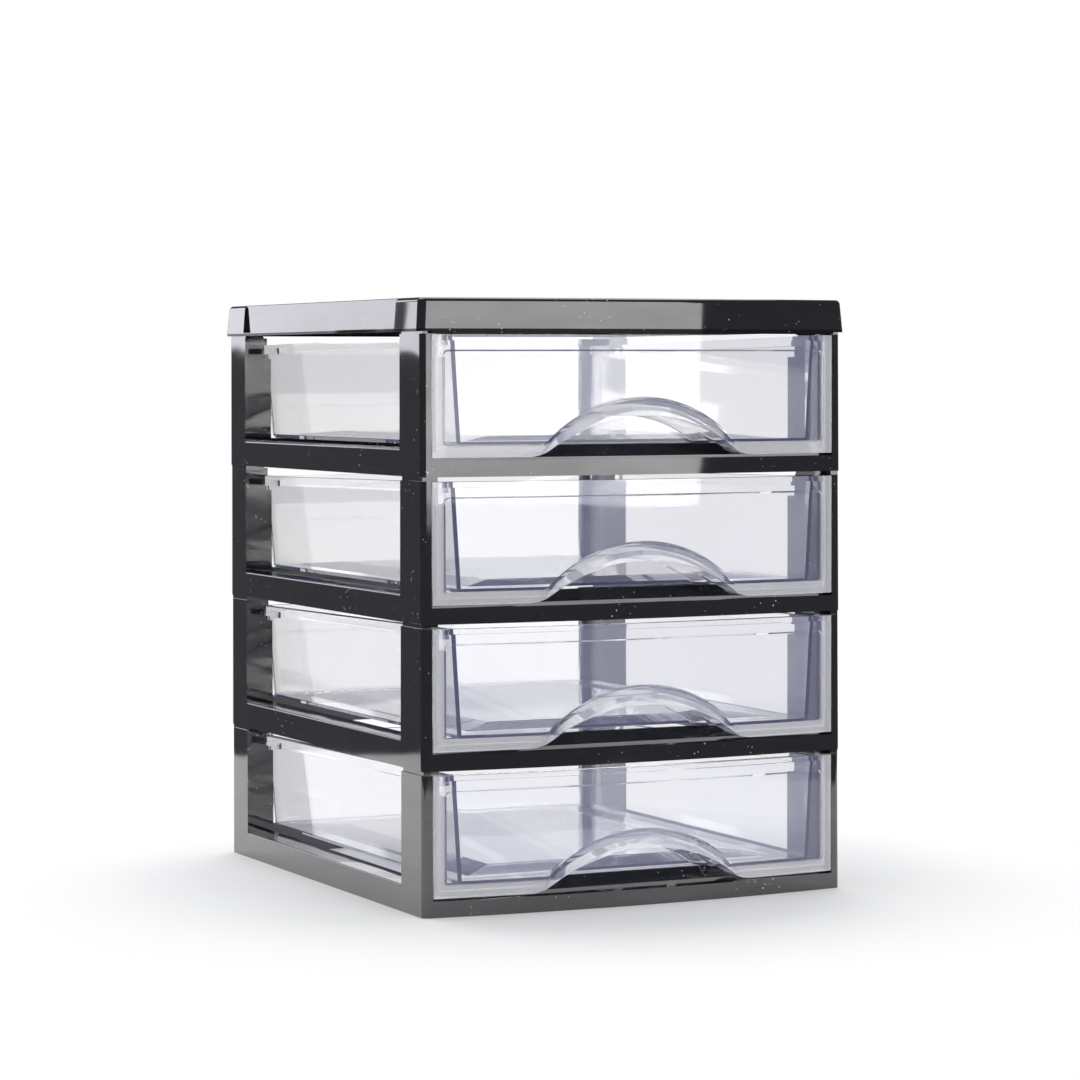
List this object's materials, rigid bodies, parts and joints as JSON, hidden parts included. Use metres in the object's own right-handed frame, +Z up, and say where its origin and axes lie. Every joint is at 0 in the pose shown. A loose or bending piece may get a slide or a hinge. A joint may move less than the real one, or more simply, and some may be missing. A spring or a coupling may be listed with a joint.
{
  "type": "desktop mini drawer tower",
  "caption": "Small desktop storage tower: clear bow-fronted drawers with arched pulls slide in open black stacking frames under a shallow lid.",
  "frame": {"origin": "on the table, under the middle of the tower's overall width and depth", "axes": "X runs to the right across the front, Y runs from the front to the back, Z runs up; the drawers slide out along -Y"},
  "size_m": [0.203, 0.2388, 0.2583],
  "materials": {
    "black": "glossy moulded polystyrene",
    "clear": "clear glossy moulded polystyrene"
  },
  "bodies": {
    "housing": {"lid": "black", "frame_1": "black", "frame_2": "black", "frame_3": "black", "frame_4": "black"},
    "drawer_1_body": {"drawer_1": "clear"},
    "drawer_2_body": {"drawer_2": "clear"},
    "drawer_3_body": {"drawer_3": "clear"},
    "drawer_4_body": {"drawer_4": "clear"}
  },
  "joints": [
    {"name": "drawer_1_slide", "type": "slide", "parent": "housing", "child": "drawer_1_body", "axis": [0, -1, 0], "range_m": [0, 0.166]},
    {"name": "drawer_2_slide", "type": "slide", "parent": "housing", "child": "drawer_2_body", "axis": [0, -1, 0], "range_m": [0, 0.166]},
    {"name": "drawer_3_slide", "type": "slide", "parent": "housing", "child": "drawer_3_body", "axis": [0, -1, 0], "range_m": [0, 0.166]},
    {"name": "drawer_4_slide", "type": "slide", "parent": "housing", "child": "drawer_4_body", "axis": [0, -1, 0], "range_m": [0, 0.166]}
  ]
}
